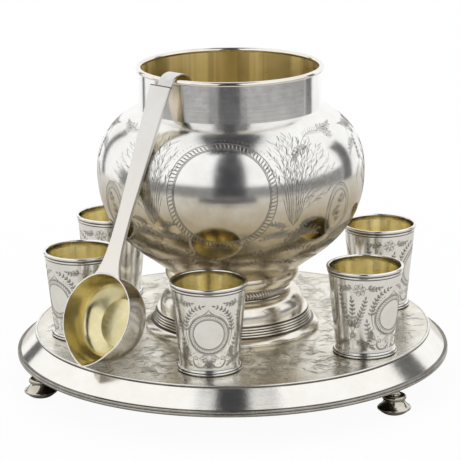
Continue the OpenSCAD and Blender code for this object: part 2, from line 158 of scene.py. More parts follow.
def metal(name, light, dark, rough, turned_lines=0.2, brushed=0.0, wave=0.05, blotch=55.0, low_tone=None,
          uneven=0.28, painted_streaks=0.0):
    """Metal with soft blotches between two colours, uneven gloss, fine lines from turning, and a slight wave.

    low_tone is a colour, the height up to which it is full and the height where it ends, in metres.
    The last argument is the strength of upright darker bands round the axis, painted reflections of dark
    surroundings."""
    material, make = new_material("silver_" + name)

    def mixed(share, first, second):
        inputs = {"Factor": share, MIX_FIRST: first, MIX_SECOND: second}
        return make("Mix", inputs, data_type="RGBA").outputs[MIX_RESULT]

    place = make("TexCoord").outputs["Object"]
    blotches = make("TexNoise", {"Vector": place, "Scale": blotch, "Detail": 5, "Roughness": 0.6})
    spread = make("MapRange", {"Value": blotches, "From Min": 0.36, "From Max": 0.66})
    colour = mixed(spread, (*dark, 1), (*light, 1))
    axes = make("SeparateXYZ", {"Vector": place})
    # Colour low down; on the belly it is a painted reflection of the warm tray and gilt below
    if low_tone:
        tone, full_height, end_height = low_tone
        ragged = make("Math", {0: blotches, 1: TONE_WANDER, 2: -TONE_WANDER / 2}, operation="MULTIPLY_ADD")
        rise = make("Math", {0: axes.outputs["Z"], 1: ragged}, operation="ADD")
        tone_fade = make("MapRange", {"Value": rise, "From Min": full_height, "From Max": end_height})
        colour = mixed(tone_fade, (*tone, 1), colour)
    flat = make("CombineXYZ", {"X": axes.outputs["X"], "Y": axes.outputs["Y"]})
    # Painted reflections: upright darker bands round the axis
    if painted_streaks:
        outward = make("VectorMath", {0: flat}, operation="NORMALIZE")
        bands = make("TexNoise", {"Vector": outward, "Scale": STREAK_SCALE, "Detail": 3})
        band_share = make("MapRange", {"Value": bands, "From Min": 0.44, "From Max": 0.58, "To Max": painted_streaks})
        colour = mixed(band_share, colour, (*(0.5 * part for part in dark), 1))
    away = make("VectorMath", {0: flat}, operation="LENGTH")
    ring_place = make("CombineXYZ", {"X": away.outputs["Value"], "Z": axes.outputs["Z"]})
    lines = make("TexNoise", {"Vector": ring_place, "Scale": LINE_SCALE, "Detail": 4, "Roughness": 0.75})
    scuffs = make("TexNoise", {"Vector": place, "Scale": SCUFF_SCALE, "Detail": 8, "Roughness": 0.7})
    worn = make("Math", {0: lines, 1: scuffs}, operation="ADD")
    gloss = make("MapRange", {
        "Value": worn, "From Min": 0.7, "From Max": 1.3,
        "To Min": (1 - uneven) * rough, "To Max": (1 + uneven) * rough})
    swell = make("TexNoise", {"Vector": place, "Scale": SWELL_SCALE, "Detail": 2})
    hollow = make("Bump", {"Height": swell, "Strength": wave, "Distance": SWELL_DEPTH})
    grain = make("Bump", {
        "Height": lines, "Strength": turned_lines, "Distance": LINE_DEPTH, "Normal": hollow})
    look = {
        "Base Color": colour, "Roughness": gloss, "Metallic": 1.0,
        "Anisotropic": brushed, "Anisotropic Rotation": 0.25, "Normal": grain}
    if brushed:
        look["Tangent"] = make("Tangent", direction_type="RADIAL", axis="Z")
    make("OutputMaterial", {"Surface": make("BsdfPrincipled", look)})
    return material


# The belly's brown low tone is a painted reflection of the warm tray and gilt below it.
BELLY = metal("belly", (0.95, 0.95, 0.93), (0.89, 0.88, 0.85), 0.165, turned_lines=0.15,
              low_tone=((0.52, 0.44, 0.30), 0.099, 0.127))
NECK = metal("neck", (0.95, 0.95, 0.95), (0.88, 0.88, 0.88), 0.17, turned_lines=0.30, brushed=0.8,
             wave=0.02)
SKIRT = metal("skirt", (0.97, 0.95, 0.91), (0.92, 0.89, 0.83), 0.14, turned_lines=0.30, brushed=0.8,
              wave=0.03)
PLAIN = metal("plain", (0.94, 0.91, 0.86), (0.84, 0.80, 0.72), 0.12)
LIP = metal("lip", (0.93, 0.92, 0.88), (0.80, 0.78, 0.74), 0.22)
# Darkened silver of the tray's rim reeds: painted shade, where they face the shaded floor near the tray.
RIM = metal("rim", (0.56, 0.54, 0.50), (0.40, 0.38, 0.35), 0.28, blotch=90)
# Darkened silver of the tray's feet: painted shade from under the tray.
FOOT = metal("foot", (0.74, 0.70, 0.62), (0.52, 0.48, 0.40), 0.14, blotch=120)
CUP = metal("cup", (0.94, 0.94, 0.92), (0.87, 0.86, 0.83), 0.15)
# Warm brown silver: painted shade on the backs of the ladle's straps, and a painted reflection of the tray
# and gilt on the bowl's stem.
WARM_SHADE_AND_REFLECTION = metal("warm_shade_and_reflection", (0.84, 0.77, 0.63), (0.68, 0.59, 0.44), 0.16, wave=0.06)
DARK = metal("dark", (0.30, 0.26, 0.21), (0.14, 0.12, 0.09), 0.34, wave=0.06, blotch=120)
TRAY = metal("tray", (0.92, 0.89, 0.82), (0.70, 0.66, 0.56), 0.26, wave=0.20, blotch=45)
SPUN = metal("spun", (0.94, 0.90, 0.83), (0.84, 0.79, 0.69), 0.19, wave=0.04)
LADLE = metal("ladle", (0.92, 0.89, 0.83), (0.82, 0.78, 0.70), 0.21, turned_lines=0.10)
SATIN = metal("satin", (0.80, 0.78, 0.75), (0.74, 0.72, 0.69), 0.32, turned_lines=0.10, wave=0,
              uneven=0.08, low_tone=((0.90, 0.86, 0.79), 0.10, 0.20))
HOOK = metal("hook", (0.80, 0.79, 0.77), (0.64, 0.63, 0.60), 0.20, turned_lines=0.10, wave=0.04)
# The darker upright bands inside the gilt are painted reflections of dark surroundings.
GILT = metal("gilt", (0.99, 0.84, 0.40), (0.95, 0.76, 0.32), 0.37, brushed=0.85, painted_streaks=0.7)
GILT_PALE = metal("gilt_pale", (0.99, 0.92, 0.64), (0.96, 0.86, 0.54), 0.19, brushed=0.6, painted_streaks=0.2)
GILT_BRIGHT = metal("gilt_bright", (0.88, 0.80, 0.51), (0.76, 0.67, 0.38), 0.22, turned_lines=0.10,
                    wave=0.09)
SHADE = metal("shade", (0.22, 0.20, 0.18), (0.10, 0.09, 0.08), 0.34, wave=0)
CUT = metal("cut", (0.42, 0.40, 0.36), (0.24, 0.225, 0.20), 0.34, turned_lines=0, wave=0, blotch=220)
FINE_CUT = metal("fine_cut", (0.56, 0.54, 0.49), (0.34, 0.32, 0.28), 0.34, turned_lines=0, wave=0,
                 blotch=220)


# Pieces from meshes
def piece(name, verts, faces, body, nodes, finishes, marks=None, place=None,
          crease=32, flat=False):
    mesh = bpy.data.meshes.new(name)
    mesh.from_pydata((np.asarray(verts, float) * MM).tolist(), [], faces)
    for finish in finishes:
        mesh.materials.append(finish)
    if marks is not None:
        mesh.polygons.foreach_set("material_index", np.asarray(marks, np.int32))
    shape = bmesh.new()
    shape.from_mesh(mesh)
    if not flat:
        bmesh.ops.remove_doubles(shape, verts=shape.verts, dist=1e-7)
    bmesh.ops.recalc_face_normals(shape, faces=shape.faces)
    shape.to_mesh(mesh)
    shape.free()
    if not flat:
        mesh.shade_smooth()
        mesh.set_sharp_from_angle(angle=math.radians(crease))
    thing = new_object(name, mesh)
    if place is not None:
        thing.matrix_world = place
    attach(thing, body)
    if nodes:
        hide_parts(*nodes)


def grid_faces(rows, columns, close_rows):
    """Faces between rows of points, where each row is a closed ring."""
    last_row = rows if close_rows else rows - 1
    return [
        (i * columns + j, i * columns + (j + 1) % columns,
         (i + 1) % rows * columns + (j + 1) % columns, (i + 1) % rows * columns + j)
        for i in range(last_row) for j in range(columns)
    ]


def lathe(name, outline, body, nodes, finishes, others=(), place=None, crease=32,
          segments=SEGMENTS):
    """Ring or shell of revolution from a closed outline.

    others holds the first run, the end and the finish's number of each stretch that isn't in finish 0."""
    outline = np.asarray(outline, float)
    outline[:, 0] = np.maximum(outline[:, 0], 0)
    angles = turns(segments)
    verts = np.empty((len(outline), segments, 3))
    verts[:, :, 0] = outline[:, :1] * np.cos(angles)
    verts[:, :, 1] = outline[:, :1] * np.sin(angles)
    verts[:, :, 2] = outline[:, 1:]
    faces = grid_faces(len(outline), segments, True)
    run_marks = np.zeros(len(outline), int)
    for first, end, finish in others:
        run_marks[max(first, 0):end] = finish
    marks = np.repeat(run_marks, segments)
    piece(name, verts.reshape(-1, 3), faces, body, nodes, finishes, marks, place, crease)


def at_spot(x, y, z):
    return Matrix.Translation(Vector((x, y, z)) * MM)


# Tray: flat top, lip, sloping skirt with its hem, rim of two reeds, and turned feet
TRAY_SHEET = 1.6
LIP_W = 1.8
HEM_W = 19
REED_D = 2.4
REED_PITCH = 2.1
tray_top_z = box_mm("tray_top")[1].z
flat_r = box_mm("tray_top")[1].x
lip_r = flat_r + LIP_W
lip_top = box_mm("tray_lip")[1].z
skirt_r = box_mm("tray_skirt")[1].x
foot_h = box_mm("tray_skirt")[0].z
rim_r = box_mm("tray_rim")[1].x
rim_h = box_mm("tray_rim")[1].z - foot_h

# The underside of the top sheet is painted shade in the dark finish.
lathe("tray_top_sheet", [
    (0, tray_top_z), (flat_r, tray_top_z), (flat_r, tray_top_z - TRAY_SHEET), (0, tray_top_z - TRAY_SHEET)
], "tray", ["tray_top"], [TRAY, DARK], [(2, 3, 1)])

lip_mid = (flat_r + LIP_W / 2, lip_top - LIP_W / 2)
lathe("tray_lip_bead", joined(
    (flat_r, tray_top_z - TRAY_SHEET), (lip_r, tray_top_z - TRAY_SHEET), arc(lip_mid, LIP_W / 2, 0, 180, 14)
), "tray", ["tray_lip"], [LIP, SHADE], [(1, 2, 1)])

knee_z = foot_h + rim_h
skirt_top_z = tray_top_z - TRAY_SHEET
skirt_top_r = lip_r - 0.2
slant = math.hypot(skirt_r - skirt_top_r, skirt_top_z - knee_z) / (skirt_top_z - knee_z)
across = TRAY_SHEET * slant
# The skirt's hem and inner faces are painted shade in the dark finish.
lathe("tray_skirt_sheet", [
    (skirt_top_r, skirt_top_z), (skirt_r, knee_z), (skirt_r, foot_h), (skirt_r - HEM_W, foot_h),
    (skirt_r - HEM_W, foot_h + TRAY_SHEET), (skirt_r - across, foot_h + TRAY_SHEET),
    (skirt_r - across, knee_z), (skirt_top_r - across, skirt_top_z)
], "tray", ["tray_skirt"], [SKIRT, DARK], [(2, 8, 1)])

reed_mid = rim_r - REED_D / 2
lathe("tray_rim_reeds", joined(
    (skirt_r, foot_h), arc((reed_mid, foot_h + REED_D / 2), REED_D / 2, -80, 58, 14),
    arc((reed_mid, foot_h + REED_D / 2 + REED_PITCH), REED_D / 2, -58, 90, 14), (skirt_r, knee_z)
), "tray", ["tray_rim"], [RIM, SHADE], [(14, 17, 1), (26, 31, 1)])

# Feet: bell, collar and flared neck; heights and edges are shares of the foot's height
BELL_R = 12
BELL_HEIGHT = 0.235
BELL_EDGE = 0.045
COLLAR_R = 8.6
COLLAR_HEIGHT = 0.61
COLLAR_EDGE = 0.09
FOOT_NECK_R = 3.8
FLARE_R = 6.5
PAD_R = 4.5
for number in (1, 2, 3):
    node = f"tray_foot_{number}"
    low, high = box_mm(node)
    bell_z = BELL_HEIGHT * high.z
    bell_edge = BELL_EDGE * high.z
    collar_z = COLLAR_HEIGHT * high.z
    collar_edge = COLLAR_EDGE * high.z
    bell_lip = arc((BELL_R - bell_edge, bell_z), bell_edge, -50, 50, 8)
    bell_top = np.array([COLLAR_R - 0.7 * collar_edge, collar_z - 1.05 * collar_edge])
    bell_rise = bell_top - bell_lip[-1]
    foot_outline = joined(
        (0, 0), (PAD_R, 0),
        bezier((PAD_R, 0.2), (0.7 * BELL_R, 0.04 * high.z),
               bell_lip[0] - (1.8 * bell_edge, 1.2 * bell_edge), bell_lip[0], 18),
        bell_lip[1:],
        bezier(bell_lip[-1], bell_lip[-1] + (0.4, 0.2) * bell_rise,
               bell_top - (0.15, 0.4) * bell_rise, bell_top, 18)[1:],
        arc((COLLAR_R - collar_edge, collar_z), collar_edge, -60, 90, 12),
        bezier((FOOT_NECK_R + 0.8, collar_z + collar_edge), (FOOT_NECK_R, 0.8 * high.z),
               (FOOT_NECK_R, 0.88 * high.z), (FLARE_R, high.z), 14),
        (0, high.z)
    )
    middle = (low + high) / 2
    lathe(f"{node}_turned", foot_outline, "tray", [node], [FOOT], place=at_spot(middle.x, middle.y, 0),
          segments=96)

# Bowl: heights above the tray's flat top
BOWL_WALL = 1.5
BELLY_Z = 45.5
EQUATOR_Z = 118.5
SEAM_Z = 165.7
BOTTOM_SAG = 8
BELLY_LOW_SLOPE = 41
SHOULDER_SLOPE = 28
RIM_WIRE_R = 2
NECK_INTO_WIRE = 0.6
ROPE_Z = 31.9
STEM_Z = 34.9
CORE_R = 39.5
CORE_TOP_Z = ROPE_Z + 1.5
STEM_ROUND = 6.6
STEM_BULGE = 0.7
bowl_place = at_spot(0, 0, tray_top_z)
belly_r = box_mm("bowl_belly")[1].x
neck_r = box_mm("bowl_neck")[1].x
bulge_r = box_mm("bowl_stem")[1].x
stem_r = bulge_r - STEM_BULGE
core_inside = CORE_R - BOWL_WALL
base_r = box_mm("bowl_foot_base")[1].x
bead_z = box_mm("bowl_rim")[1].z - tray_top_z - RIM_WIRE_R

belly_start = np.array([stem_r + 0.1, BELLY_Z])
belly_widest = np.array([belly_r, EQUATOR_Z])
belly_end = np.array([neck_r, SEAM_Z])
belly_bottom = bezier(
    (0, BELLY_Z - BOTTOM_SAG), (belly_start[0] / 2, BELLY_Z - BOTTOM_SAG),
    belly_start - polar(1.5 * BOTTOM_SAG, BELLY_LOW_SLOPE), belly_start, 20)
belly_low = bezier(
    belly_start, belly_start + polar(0.34 * (EQUATOR_Z - BELLY_Z), BELLY_LOW_SLOPE),
    belly_widest - (0, 0.62 * (EQUATOR_Z - BELLY_Z)), belly_widest, 72)
belly_high = bezier(
    belly_widest, belly_widest + (0, 0.6 * (SEAM_Z - EQUATOR_Z)),
    belly_end + polar(0.58 * (belly_r - neck_r), -SHOULDER_SLOPE), belly_end, 56)
belly_side = joined(belly_low, belly_high[1:])
belly_outside = joined(belly_bottom, belly_side[1:])
belly_inside = belly_outside + BOWL_WALL * left_normals(belly_outside)
lathe("bowl_belly_shell", joined(belly_outside, belly_inside[::-1]), "bowl", ["bowl_belly"], [BELLY, GILT],
      [(len(belly_outside), 2 * len(belly_outside) - 1, 1)], place=bowl_place)

neck_top = bead_z - NECK_INTO_WIRE * RIM_WIRE_R
seat = belly_inside[-1]
lathe("bowl_neck_collar", [
    (neck_r, SEAM_Z), (neck_r, neck_top), (neck_r - BOWL_WALL, neck_top),
    (neck_r - BOWL_WALL, seat[1]), seat
], "bowl", ["bowl_neck"], [NECK, GILT], [(2, 4, 1)], place=bowl_place, crease=18)

wire_cut = math.degrees(math.asin(NECK_INTO_WIRE))
rim_wire = arc((neck_r, bead_z), RIM_WIRE_R, -wire_cut, 180 + wire_cut, 24)
lathe("bowl_rim_wire", rim_wire, "bowl", ["bowl_rim"], [PLAIN], place=bowl_place)

stem_round_mid = (bulge_r - STEM_ROUND, STEM_Z + STEM_ROUND)
under_widest = joined(belly_bottom, belly_low[1:])


def belly_height(radius):
    return np.interp(radius, under_widest[:, 0], under_widest[:, 1])


stem_top = np.array([stem_r, belly_height(stem_r)])
stem_side = stem_top[1] - stem_round_mid[1]
# The stem barrel's warm brown is a painted reflection of the tray and gilt around it; its recessed core is
# painted shade.
lathe("bowl_stem_barrel", joined(
    (CORE_R, CORE_TOP_Z), (CORE_R, STEM_Z), arc(stem_round_mid, STEM_ROUND, -90, 0, 24),
    bezier((bulge_r, stem_round_mid[1]), (bulge_r, stem_round_mid[1] + 0.4 * stem_side),
           stem_top + (0.4 * STEM_BULGE, -0.3 * stem_side), stem_top, 8)[1:],
    (stem_r - BOWL_WALL, belly_height(stem_r - BOWL_WALL)),
    arc(stem_round_mid, STEM_ROUND - BOWL_WALL, 0, -90, 12),
    (core_inside, STEM_Z + BOWL_WALL), (core_inside, CORE_TOP_Z)
), "bowl", ["bowl_stem"], [WARM_SHADE_AND_REFLECTION, SHADE], [(0, 1, 1)], place=bowl_place)

# Rope round the stem: a ring with leaning ridges and dark grooves
ROPE_RIDGES = 110
ROPE_LEAN = 2
ROPE_R = 41.7
ROPE_SIZE = 1.9
ROPE_GROOVE = 0.75
ROPE_MID_Z = ROPE_Z + 1.1
ROPE_SHADE_FROM = -0.05
rope_steps = 8 * ROPE_RIDGES
rope_sides = 16
rope_turns = turns(rope_steps)[:, None]
side_turns = turns(rope_sides)[None, :]
ridge = np.cos(ROPE_RIDGES * rope_turns + ROPE_LEAN * side_turns)
rope_size = ROPE_SIZE - 0.5 * ROPE_GROOVE * (1 - ridge)
rope_reach = ROPE_R + rope_size * np.cos(side_turns)
rope_height = ROPE_MID_Z + rope_size * np.sin(side_turns)
rope_verts = np.stack([rope_reach * np.cos(rope_turns), rope_reach * np.sin(rope_turns), rope_height], 2)
rope_marks = (ridge < ROPE_SHADE_FROM).astype(int).reshape(-1)
piece("bowl_rope_twist", rope_verts.reshape(-1, 3), grid_faces(rope_steps, rope_sides, True), "bowl",
      ["bowl_rope_band"], [PLAIN, SHADE], rope_marks, place=bowl_place, crease=60)

# Foot: spun dome, ring of reeds, and plain base
REEDS_Z = 5.5
DOME_Z = 12.8
OVOLO_Z = 16
OVOLO_R = 53.3
OVOLO_ROUND = 9.6
OVOLO_ROUND_H = 12.4
SCOTIA_R = 43.1
SCOTIA_ROUND = 3.2
LEDGE_R = 56
ovolo_mid = np.array([OVOLO_R - OVOLO_ROUND, OVOLO_Z])
dome_outside = joined(
    (LEDGE_R, DOME_Z), arc((LEDGE_R - 0.5, DOME_Z + 1), 0.5, 0, 90, 6), (OVOLO_R, DOME_Z + BOWL_WALL),
    ovolo_mid + arc((0, 0), 1, 0, 90, 28) * (OVOLO_ROUND, OVOLO_ROUND_H),
    (SCOTIA_R, OVOLO_Z + OVOLO_ROUND_H), arc((SCOTIA_R, ROPE_Z), SCOTIA_ROUND, 270, 180, 20),
    (CORE_R, ROPE_Z), (CORE_R, CORE_TOP_Z))
dome_inside = joined(
    (core_inside, CORE_TOP_Z), (core_inside, ROPE_Z),
    arc((SCOTIA_R, ROPE_Z), SCOTIA_ROUND + BOWL_WALL, 180, 270, 10),
    ovolo_mid + arc((0, 0), 1, 90, 0, 14) * (OVOLO_ROUND - BOWL_WALL, OVOLO_ROUND_H - BOWL_WALL),
    (OVOLO_R - BOWL_WALL, DOME_Z))
dome_end = len(dome_outside) - 1
lathe("bowl_foot_dome_spun", joined(dome_outside, dome_inside), "bowl", ["bowl_foot_dome"], [SPUN, SHADE],
      [(0, 2, 1), (dome_end - 2, dome_end, 1)], place=bowl_place)

REED_COUNT = 4
REED_STEPS = 8
REEDS_R = 59
REEDS_LEAN = 2.2
REEDS_RING_W = 10
foot_reed_pitch = (DOME_Z - REEDS_Z) / REED_COUNT
reed_runs = []
for k in range(REED_COUNT):
    share = (k + 0.5) / REED_COUNT
    reed_runs.append(arc(
        (REEDS_R - share * REEDS_LEAN - 0.5 * foot_reed_pitch, REEDS_Z + share * (DOME_Z - REEDS_Z)),
        0.49 * foot_reed_pitch, -75, 75, REED_STEPS))
reed_ends = [(REED_STEPS + 1) * k for k in range(REED_COUNT + 1)]
lathe("bowl_foot_reeds_turned", joined(
    (REEDS_R - REEDS_RING_W, REEDS_Z), *reed_runs, (REEDS_R - REEDS_RING_W, DOME_Z)
), "bowl", ["bowl_foot_reeds"], [SPUN, SHADE], [(end - 1, end + 2, 1) for end in reed_ends],
      place=bowl_place, crease=40)

BASE_RING_W = 12.9
base_edge = 0.3 * REEDS_Z
lathe("bowl_foot_base_ring", joined(
    (base_r - BASE_RING_W, 0), (base_r - 0.6 * base_edge, 0),
    arc((base_r - base_edge, base_edge), base_edge, -50, 30, 10),
    (REEDS_R + 1.4, REEDS_Z - 0.4), (REEDS_R + 0.6, REEDS_Z), (base_r - BASE_RING_W, REEDS_Z)
), "bowl", ["bowl_foot_base"], [SPUN, SHADE], [(13, 15, 1)], place=bowl_place)

# Ladle: X down the handle, Z out of the face that shows, origin at the crease under the hook
LADLE_AZIMUTH = 228
HANDLE_LEAN = 24.283
CREASE = (71.147, 190.703)
LADLE_U = 167.61
LADLE_R = 31
LADLE_DEPTH = 26.5
LADLE_BOTTOM_R = 17
LADLE_LIP = 6.2
LADLE_LIP_ANGLE = 42
LADLE_WALL = 1.1
LIP_FADE = 15
LIP_POINT = 1.35
EDGE_ROUND = 0.2
HANDLE_T = 2.4
ladle_turn = Matrix.Rotation(math.radians(LADLE_AZIMUTH), 4, "Z")
ladle_place = (
    bowl_place @ ladle_turn @ at_spot(CREASE[0], 0, CREASE[1])
    @ Matrix.Rotation(math.radians(90 - HANDLE_LEAN), 4, "Y")
)


def in_row_frame(points):
    turn = np.array(ladle_place.to_3x3())
    return np.asarray(points, float) @ turn.T + np.array(ladle_place.translation) / MM


def ladle_section(wall, foot_slope):
    """Radius and depth down one side of the ladle's bowl: upright wall, rounded corner, flat bottom."""
    top_r = LADLE_R - wall
    deep = LADLE_DEPTH - wall
    corner = bezier((top_r - 0.3, 0.42 * deep), (top_r - 0.6, 0.86 * deep),
                    np.array([LADLE_BOTTOM_R, deep]) + polar(7, -foot_slope), (LADLE_BOTTOM_R, deep), 22)
    return joined((top_r, 0), (top_r - 0.06, 0.14 * deep), (top_r - 0.16, 0.28 * deep), corner,
                  (0.6 * LADLE_BOTTOM_R, deep), (0, deep))


def ladle_ring(radius, depth, sides):
    angles = np.linspace(-180, 180, sides, endpoint=False)
    off = np.abs(angles) / LADLE_LIP_ANGLE
    fade = max(0, 1 - depth / LIP_FADE) ** 2
    reach = radius + LADLE_LIP * np.maximum(0, 1 - off) ** LIP_POINT * fade
    return round_axis(reach, np.radians(angles), np.full(sides, HANDLE_T - depth)) + (LADLE_U, 0, 0)


LADLE_SIDES = 192
outer_run = ladle_section(0, foot_slope=8)[::-1]
inner_run = ladle_section(LADLE_WALL, foot_slope=30)
mouth_r = LADLE_R - LADLE_WALL
ladle_runs = joined(
    outer_run[:-1], (LADLE_R, EDGE_ROUND), (LADLE_R - EDGE_ROUND, 0), (mouth_r + EDGE_ROUND, 0),
    (mouth_r, EDGE_ROUND), inner_run[1:])
ladle_verts = np.vstack([ladle_ring(r, d, LADLE_SIDES) for r, d in ladle_runs])
ladle_faces = grid_faces(len(ladle_runs), LADLE_SIDES, False)
first_gilt = len(outer_run) + 2
ladle_marks = [1 if k // LADLE_SIDES >= first_gilt else 0 for k in range(len(ladle_faces))]
piece("ladle_bowl_shell", in_row_frame(ladle_verts), ladle_faces, "ladle", ["ladle_bowl"],
      [LADLE, GILT_BRIGHT], ladle_marks, crease=24)


def strap(name, stations, chamfer, nodes, finish, line_runs=0):
    """Flat strap with a back in warm brown painted shade, from stations of points across its back and points
    across its face.

    The first line_runs runs are a dark line of painted shade."""
    verts = []
    for lower, upper in stations:
        lower = np.array(lower, float)
        upper = np.array(upper, float)
        up = (upper - lower) / np.linalg.norm(upper - lower, axis=1)[:, None]
        for face, sign in ((lower, 1), (upper, -1)):
            face[0] += sign * chamfer * up[0]
            face[-1] += sign * chamfer * up[-1]
        verts.append(np.vstack([lower, upper[::-1]]))
    count = len(verts[0])
    faces = grid_faces(len(verts), count, False)
    # The back's faces take the warm painted shade, and the first runs a line of painted shade.
    marks = [1 if k % count < count // 2 - 1 else 0 for k in range(len(faces))] + [0, 0]
    marks[:line_runs * count] = [2] * (line_runs * count)
    faces.append(tuple(range(count)))
    faces.append(tuple(len(verts) * count - 1 - k for k in range(count)))
    piece(name, in_row_frame(np.vstack(verts)), faces, "ladle", nodes, [finish, WARM_SHADE_AND_REFLECTION, SHADE], marks,
          crease=20)


HANDLE_TOP = 19.4 / 2
HANDLE_WAIST = 12.4 / 2
HANDLE_ROOT = 25 / 2
WAIST_UP = 44
CREASE_LINE = 0.8
HANDLE_CHAMFER = 0.35
ACROSS = np.array([-1, -0.94, -0.6, -0.2, 0.2, 0.6, 0.94, 1])
root_u = LADLE_U - math.sqrt(LADLE_R ** 2 - HANDLE_ROOT ** 2)
waist_u = LADLE_U - LADLE_R - WAIST_UP
handle_edge = joined(
    (0, HANDLE_TOP), np.linspace((CREASE_LINE, HANDLE_TOP), (waist_u, HANDLE_WAIST), 12),
    bezier((waist_u, HANDLE_WAIST), (waist_u + 0.55 * WAIST_UP, HANDLE_WAIST),
           (root_u - 0.2 * WAIST_UP, HANDLE_WAIST + 0.4), (root_u, HANDLE_ROOT), 28)[1:])
handle_stations = []
ends = LADLE_U - np.sqrt(LADLE_R ** 2 - (HANDLE_ROOT * ACROSS) ** 2)
for u, half in handle_edge:
    down = u * ends / root_u
    flat_points = np.stack([down, half * ACROSS, np.zeros(len(ACROSS))], 1)
    handle_stations.append((flat_points, flat_points + (0, 0, HANDLE_T)))
strap("ladle_handle_strap", handle_stations, HANDLE_CHAMFER, ["ladle_handle"], SATIN, line_runs=1)

HOOK_R = 10.4
HOOK_T = 1.4
HOOK_HALF = 13.4 / 2
HOOK_SIDE = 2.9
HOOK_CHAMFER = 0.2
HOOK_FROM = 19
HOOK_TO = 192
ARCH = (61.313, 187.317)
to_ladle = ladle_place.inverted()
hook_frame = bowl_place @ ladle_turn
hook_stations = []
for angle in np.linspace(HOOK_FROM, HOOK_TO, 40):
    faces_at = []
    for radius in (HOOK_R, HOOK_R + HOOK_T):
        r, z = np.array(ARCH) + polar(radius, angle)
        spots = [hook_frame @ Vector((r * MM, (HOOK_SIDE + HOOK_HALF * q) * MM, z * MM)) for q in ACROSS]
        faces_at.append([tuple((to_ladle @ spot) / MM) for spot in spots])
    hook_stations.append(faces_at)
strap("ladle_hook_strap", hook_stations, HOOK_CHAMFER, ["ladle_hook"], HOOK)

# Cups: tapered wall, rim of a bead over a fine reed, gilt floor, and two reeds round the foot
CUP_H = 63.9
CUP_BASE_R = 20.4
CUP_TOP_R = 26.83
CUP_WALL = 1
CUP_SEAM_Z = 59.5
CUP_BEAD_R = 1.1
CUP_REED_R = 0.6
CUP_REED_Z = 60.2
GROOVE_LOW_Z = 61
GROOVE_HIGH_Z = 61.8
GROOVE_DEPTH = 0.1
CUP_FLOOR_Z = 0.8
CUP_FLOOR_T = 1.2
CUP_RIM_R = 27.6
CUP_LINE_Z = 58.8
CUP_FOOT_H = 6
LOW_REED = (22.35, 1.2)
LOW_REED_R = 0.65
HIGH_REED = (21.6, 2.45)
HIGH_REED_R = 0.6
CUP_SEGMENTS = 128


def cup_radius(z):
    return CUP_BASE_R + (CUP_TOP_R - CUP_BASE_R) * z / CUP_H


cup_wall_rows = np.append(np.linspace(0, CUP_LINE_Z, 10), CUP_SEAM_Z)
cup_outside = np.stack([cup_radius(cup_wall_rows), cup_wall_rows], 1)
cup_inside = cup_outside[::-1] - (CUP_WALL, 0)
cup_rows = len(cup_outside)
cup_bead = (CUP_RIM_R - CUP_BEAD_R, CUP_H - CUP_BEAD_R)
cup_rim_outline = joined(
    (cup_radius(CUP_SEAM_Z), CUP_SEAM_Z), (cup_radius(CUP_SEAM_Z), CUP_SEAM_Z + 0.1),
    arc((cup_radius(CUP_REED_Z), CUP_REED_Z), CUP_REED_R, -70, 70, 10),
    (cup_radius(GROOVE_LOW_Z + 0.2) - GROOVE_DEPTH, GROOVE_LOW_Z),
    (cup_radius(GROOVE_HIGH_Z - 0.2) - GROOVE_DEPTH, GROOVE_HIGH_Z),
    arc(cup_bead, CUP_BEAD_R, -52, 200, 22), (cup_radius(CUP_SEAM_Z) - CUP_WALL, CUP_SEAM_Z))
cup_foot_outline = joined(
    (20.3, 0.6), arc(LOW_REED, LOW_REED_R, -90, 65, 10), arc(HIGH_REED, HIGH_REED_R, -45, 95, 10),
    bezier((21.4, 3.1), (21.2, 3.5), (21.05, 4.5), (cup_radius(CUP_FOOT_H) + 0.03, CUP_FOOT_H), 8),
    (cup_radius(CUP_FOOT_H) - 0.3, CUP_FOOT_H))
cups = {}
for number in range(1, 7):
    body = f"cup_{number}"
    low, high = box_mm(f"{body}_floor")
    middle = (low + high) / 2
    cups[number] = middle
    cup_place = at_spot(middle.x, middle.y, tray_top_z)
    lathe(f"{body}_wall_shell", joined(cup_outside, cup_inside), body, [f"{body}_wall"],
          [CUP, GILT_PALE, SHADE], [(cup_rows - 2, cup_rows - 1, 2), (cup_rows, 2 * cup_rows - 1, 1)],
          place=cup_place, segments=CUP_SEGMENTS)
    lathe(f"{body}_rim_bead", cup_rim_outline, body, [f"{body}_rim"], [CUP, SHADE],
          [(12, 14, 1)], place=cup_place, segments=CUP_SEGMENTS)
    floor_low = cup_radius(CUP_FLOOR_Z) - CUP_WALL
    floor_high = cup_radius(CUP_FLOOR_Z + CUP_FLOOR_T) - CUP_WALL
    lathe(f"{body}_floor_disc", [
        (0, CUP_FLOOR_Z), (floor_low, CUP_FLOOR_Z), (floor_high, CUP_FLOOR_Z + CUP_FLOOR_T),
        (0, CUP_FLOOR_Z + CUP_FLOOR_T)
    ], body, [f"{body}_floor"], [GILT_PALE], place=cup_place, segments=CUP_SEGMENTS)
    lathe(f"{body}_foot_reeds", cup_foot_outline, body, [], [CUP, SHADE], [(0, 3, 1), (10, 13, 1)],
          place=cup_place, segments=CUP_SEGMENTS)


# Engraving: strokes drawn on a flat pattern, x to the right and y up, then laid on the metal as fine ridges
def cut(points, width):
    return np.asarray(points, float), width, False


def oval(half_wide, half_high, width, count=72):
    angles = turns(count)
    return np.stack([half_wide * np.cos(angles), half_high * np.sin(angles)], 1), width, True


def moved(strokes, turn=0.0, shift=(0, 0), flip=False):
    c, s = polar(1, turn)
    spin = np.array([[c, s], [-s, c]])
    side = (-1, 1) if flip else (1, 1)
    return [((points @ spin + shift) * side, width, closed) for points, width, closed in strokes]


def both_sides(strokes):
    return strokes + moved(strokes, flip=True)


def along(spine, share):
    place = share * (len(spine) - 1)
    k = min(int(place), len(spine) - 2)
    step = spine[k + 1] - spine[k]
    return spine[k] + (place - k) * step, math.degrees(math.atan2(step[1], step[0]))


